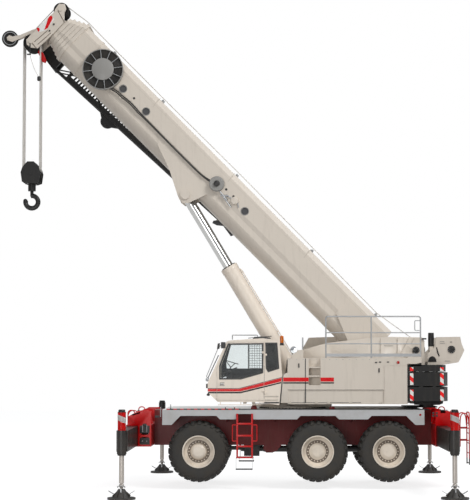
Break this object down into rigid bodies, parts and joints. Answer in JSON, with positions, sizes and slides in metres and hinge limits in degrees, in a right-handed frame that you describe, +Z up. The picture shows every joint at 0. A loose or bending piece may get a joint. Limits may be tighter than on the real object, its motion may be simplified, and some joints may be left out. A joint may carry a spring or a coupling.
{
  "type": "rough terrain telescopic mobile crane",
  "caption": "Three-axle rough terrain crane on its extended outriggers, telescopic boom raised, with cab, counterweight, stowed lattice fly and hook block.",
  "frame": {"origin": "middle of the whole machine's box at floor level, under the floats", "axes": "+X to the rear of the carrier, -Y to the cab's side, +Z up"},
  "size_m": [12.6757, 9.086, 13.2319],
  "materials": {
    "cream_paint": "gloss machine paint",
    "red_paint": "gloss machine paint",
    "dark_red_paint": "satin paint",
    "grey_paint": "satin paint",
    "rim_paint": "gloss machine paint",
    "black_iron": "black paint on iron",
    "black_trim": "moulded black",
    "galvanised": "zinc coated",
    "machined_steel": "machined",
    "chrome_rod": "polished",
    "wire_rope": "laid steel wire",
    "tyre_rubber": "moulded rubber",
    "cab_glass": "tinted glass",
    "cab_trim": "dark moulded trim"
  },
  "bodies": {
    "chassis": {"carrier_frame": "red_paint", "deck": "cream_paint", "outrigger_boxes": "red_paint", "axles_and_driveline": "dark_red_paint", "slew_ring": "machined_steel", "ladders": "red_paint"},
    "upper": {"upper_frame": "cream_paint", "cab_shell": "cream_paint", "cab_windows": "cab_glass", "cab_interior": "cab_trim", "left_housing": "cream_paint", "engine_housing": "cream_paint", "counterweight": "black_iron", "winch_frame": "cream_paint", "handrails": "galvanised", "lamps_and_mirrors": "black_trim"},
    "cab_door": {"cab_door": "cream_paint", "cab_door_window": "cab_glass"},
    "main_drum": {"main_drum": "black_iron"},
    "rear_drum": {"rear_drum": "black_iron"},
    "boom": {"boom_base": "cream_paint", "cable_reels": "grey_paint", "fly_jib": "black_iron"},
    "boom_1": {"boom_section_1": "cream_paint"},
    "boom_2": {"boom_section_2": "cream_paint"},
    "boom_3": {"boom_section_3": "cream_paint"},
    "boom_4": {"boom_section_4": "cream_paint"},
    "boom_5": {"boom_tip": "cream_paint", "sheaves": "grey_paint"},
    "lift_rod": {"lift_rod": "chrome_rod"},
    "lift_barrel": {"lift_barrel": "cream_paint"},
    "falls": {"hoist_ropes": "wire_rope"},
    "hook_block": {"hook_block": "black_iron"},
    "hook": {"hook": "black_iron"},
    "beam_front_left": {"beam_front_left": "black_iron"},
    "jack_front_left": {"jack_front_left": "galvanised"},
    "beam_front_right": {"beam_front_right": "black_iron"},
    "jack_front_right": {"jack_front_right": "galvanised"},
    "beam_rear_left": {"beam_rear_left": "black_iron"},
    "jack_rear_left": {"jack_rear_left": "galvanised"},
    "beam_rear_right": {"beam_rear_right": "black_iron"},
    "jack_rear_right": {"jack_rear_right": "galvanised"},
    "knuckle_front_left": {"knuckle_front_left": "dark_red_paint"},
    "wheel_front_left": {"rim_front_left": "rim_paint", "tyre_front_left": "tyre_rubber"},
    "knuckle_front_right": {"knuckle_front_right": "dark_red_paint"},
    "wheel_front_right": {"rim_front_right": "rim_paint", "tyre_front_right": "tyre_rubber"},
    "knuckle_middle_left": {"knuckle_middle_left": "dark_red_paint"},
    "wheel_middle_left": {"rim_middle_left": "rim_paint", "tyre_middle_left": "tyre_rubber"},
    "knuckle_middle_right": {"knuckle_middle_right": "dark_red_paint"},
    "wheel_middle_right": {"rim_middle_right": "rim_paint", "tyre_middle_right": "tyre_rubber"},
    "knuckle_rear_left": {"knuckle_rear_left": "dark_red_paint"},
    "wheel_rear_left": {"rim_rear_left": "rim_paint", "tyre_rear_left": "tyre_rubber"},
    "knuckle_rear_right": {"knuckle_rear_right": "dark_red_paint"},
    "wheel_rear_right": {"rim_rear_right": "rim_paint", "tyre_rear_right": "tyre_rubber"}
  },
  "joints": [
    {"name": "slew", "type": "hinge", "parent": "chassis", "child": "upper", "pos_m": [1.69, 0, 2.1025], "axis": [0, 0, 1], "continuous": true},
    {"name": "boom_lift", "type": "hinge", "parent": "upper", "child": "boom", "pos_m": [3.571, 0, 3.25], "axis": [0, 1, 0], "range_deg": [-47.2, 34.8]},
    {"name": "boom_extend_1", "type": "slide", "parent": "boom", "child": "boom_1", "axis": [-0.7046, 0, 0.7096], "range_m": [0, 9.3]},
    {"name": "boom_extend_2", "type": "slide", "parent": "boom_1", "child": "boom_2", "axis": [-0.7046, 0, 0.7096], "range_m": [0, 9.3]},
    {"name": "boom_extend_3", "type": "slide", "parent": "boom_2", "child": "boom_3", "axis": [-0.7046, 0, 0.7096], "range_m": [0, 9.3]},
    {"name": "boom_extend_4", "type": "slide", "parent": "boom_3", "child": "boom_4", "axis": [-0.7046, 0, 0.7096], "range_m": [0, 9.3]},
    {"name": "boom_extend_5", "type": "slide", "parent": "boom_4", "child": "boom_5", "axis": [-0.7046, 0, 0.7096], "range_m": [0, 9.3]},
    {"name": "lift_rod_swing", "type": "hinge", "parent": "boom", "child": "lift_rod", "pos_m": [-1.23029, 0, 7.90753], "axis": [0, 1, 0], "range_deg": [-6.3, 4.7]},
    {"name": "lift_stroke", "type": "slide", "parent": "lift_rod", "child": "lift_barrel", "axis": [0.5138, 0, -0.8579], "range_m": [-1.66, 1.26]},
    {"name": "hook_plumb", "type": "hinge", "parent": "boom_5", "child": "falls", "pos_m": [-5.48086, 0, 12.12544], "axis": [0, 1, 0], "range_deg": [-34.9, 47.3]},
    {"name": "hoist", "type": "slide", "parent": "falls", "child": "hook_block", "axis": [0, 0, -1], "range_m": [-2.6, 7.4], "deforming": ["hoist_ropes"]},
    {"name": "hook_swivel", "type": "hinge", "parent": "hook_block", "child": "hook", "pos_m": [-5.48086, 0, 8], "axis": [0, 0, 1], "continuous": true},
    {"name": "main_drum_spin", "type": "hinge", "parent": "upper", "child": "main_drum", "pos_m": [5.02, 0, 3.66], "axis": [0, 1, 0], "continuous": true},
    {"name": "rear_drum_spin", "type": "hinge", "parent": "upper", "child": "rear_drum", "pos_m": [5.972, 0, 3.677], "axis": [0, 1, 0], "continuous": true},
    {"name": "cab_door_hinge", "type": "hinge", "parent": "upper", "child": "cab_door", "pos_m": [0.938, -1.514, 3.1], "axis": [0, 0, 1], "range_deg": [0, 85]},
    {"name": "beam_slide_front_left", "type": "slide", "parent": "chassis", "child": "beam_front_left", "axis": [0, -1, 0], "range_m": [-2.45, 0]},
    {"name": "jack_stroke_front_left", "type": "slide", "parent": "beam_front_left", "child": "jack_front_left", "axis": [0, 0, 1], "range_m": [-0.1, 0.7]},
    {"name": "beam_slide_front_right", "type": "slide", "parent": "chassis", "child": "beam_front_right", "axis": [0, 1, 0], "range_m": [-2.45, 0]},
    {"name": "jack_stroke_front_right", "type": "slide", "parent": "beam_front_right", "child": "jack_front_right", "axis": [0, 0, 1], "range_m": [-0.1, 0.7]},
    {"name": "beam_slide_rear_left", "type": "slide", "parent": "chassis", "child": "beam_rear_left", "axis": [0, -1, 0], "range_m": [-2.45, 0]},
    {"name": "jack_stroke_rear_left", "type": "slide", "parent": "beam_rear_left", "child": "jack_rear_left", "axis": [0, 0, 1], "range_m": [-0.1, 0.7]},
    {"name": "beam_slide_rear_right", "type": "slide", "parent": "chassis", "child": "beam_rear_right", "axis": [0, 1, 0], "range_m": [-2.45, 0]},
    {"name": "jack_stroke_rear_right", "type": "slide", "parent": "beam_rear_right", "child": "jack_rear_right", "axis": [0, 0, 1], "range_m": [-0.1, 0.7]},
    {"name": "steer_front_left", "type": "hinge", "parent": "chassis", "child": "knuckle_front_left", "pos_m": [-0.798, -0.98, 0.986], "axis": [0, 0, 1], "range_deg": [-24, 24]},
    {"name": "roll_front_left", "type": "hinge", "parent": "knuckle_front_left", "child": "wheel_front_left", "pos_m": [-0.798, -1.2985, 0.986], "axis": [0, 1, 0], "continuous": true},
    {"name": "steer_front_right", "type": "hinge", "parent": "chassis", "child": "knuckle_front_right", "pos_m": [-0.798, 0.98, 0.986], "axis": [0, 0, 1], "range_deg": [-24, 24]},
    {"name": "roll_front_right", "type": "hinge", "parent": "knuckle_front_right", "child": "wheel_front_right", "pos_m": [-0.798, 1.2985, 0.986], "axis": [0, 1, 0], "continuous": true},
    {"name": "steer_middle_left", "type": "hinge", "parent": "chassis", "child": "knuckle_middle_left", "pos_m": [2.328, -0.98, 0.986], "axis": [0, 0, 1], "range_deg": [-14.5, 14.5]},
    {"name": "roll_middle_left", "type": "hinge", "parent": "knuckle_middle_left", "child": "wheel_middle_left", "pos_m": [2.328, -1.2985, 0.986], "axis": [0, 1, 0], "continuous": true},
    {"name": "steer_middle_right", "type": "hinge", "parent": "chassis", "child": "knuckle_middle_right", "pos_m": [2.328, 0.98, 0.986], "axis": [0, 0, 1], "range_deg": [-14.5, 14.5]},
    {"name": "roll_middle_right", "type": "hinge", "parent": "knuckle_middle_right", "child": "wheel_middle_right", "pos_m": [2.328, 1.2985, 0.986], "axis": [0, 1, 0], "continuous": true},
    {"name": "steer_rear_left", "type": "hinge", "parent": "chassis", "child": "knuckle_rear_left", "pos_m": [4.194, -0.98, 0.986], "axis": [0, 0, 1], "range_deg": [-24, 24]},
    {"name": "roll_rear_left", "type": "hinge", "parent": "knuckle_rear_left", "child": "wheel_rear_left", "pos_m": [4.194, -1.2985, 0.986], "axis": [0, 1, 0], "continuous": true},
    {"name": "steer_rear_right", "type": "hinge", "parent": "chassis", "child": "knuckle_rear_right", "pos_m": [4.194, 0.98, 0.986], "axis": [0, 0, 1], "range_deg": [-24, 24]},
    {"name": "roll_rear_right", "type": "hinge", "parent": "knuckle_rear_right", "child": "wheel_rear_right", "pos_m": [4.194, 1.2985, 0.986], "axis": [0, 1, 0], "continuous": true}
  ],
  "couplings": [
    {"joint": "boom_extend_2", "follows": "boom_extend_1", "ratio": 1},
    {"joint": "boom_extend_3", "follows": "boom_extend_1", "ratio": 1},
    {"joint": "boom_extend_4", "follows": "boom_extend_1", "ratio": 1},
    {"joint": "boom_extend_5", "follows": "boom_extend_1", "ratio": 1},
    {"joint": "lift_rod_swing", "follows": "boom_lift", "ratio": 0.13},
    {"joint": "lift_stroke", "follows": "boom_lift", "m_per_rad": 1.9481},
    {"joint": "hook_plumb", "follows": "boom_lift", "ratio": -1},
    {"joint": "steer_front_right", "follows": "steer_front_left", "ratio": 1},
    {"joint": "steer_rear_right", "follows": "steer_rear_left", "ratio": 1},
    {"joint": "steer_middle_left", "follows": "steer_rear_left", "ratio": 0.6},
    {"joint": "steer_middle_right", "follows": "steer_rear_left", "ratio": 0.6}
  ]
}
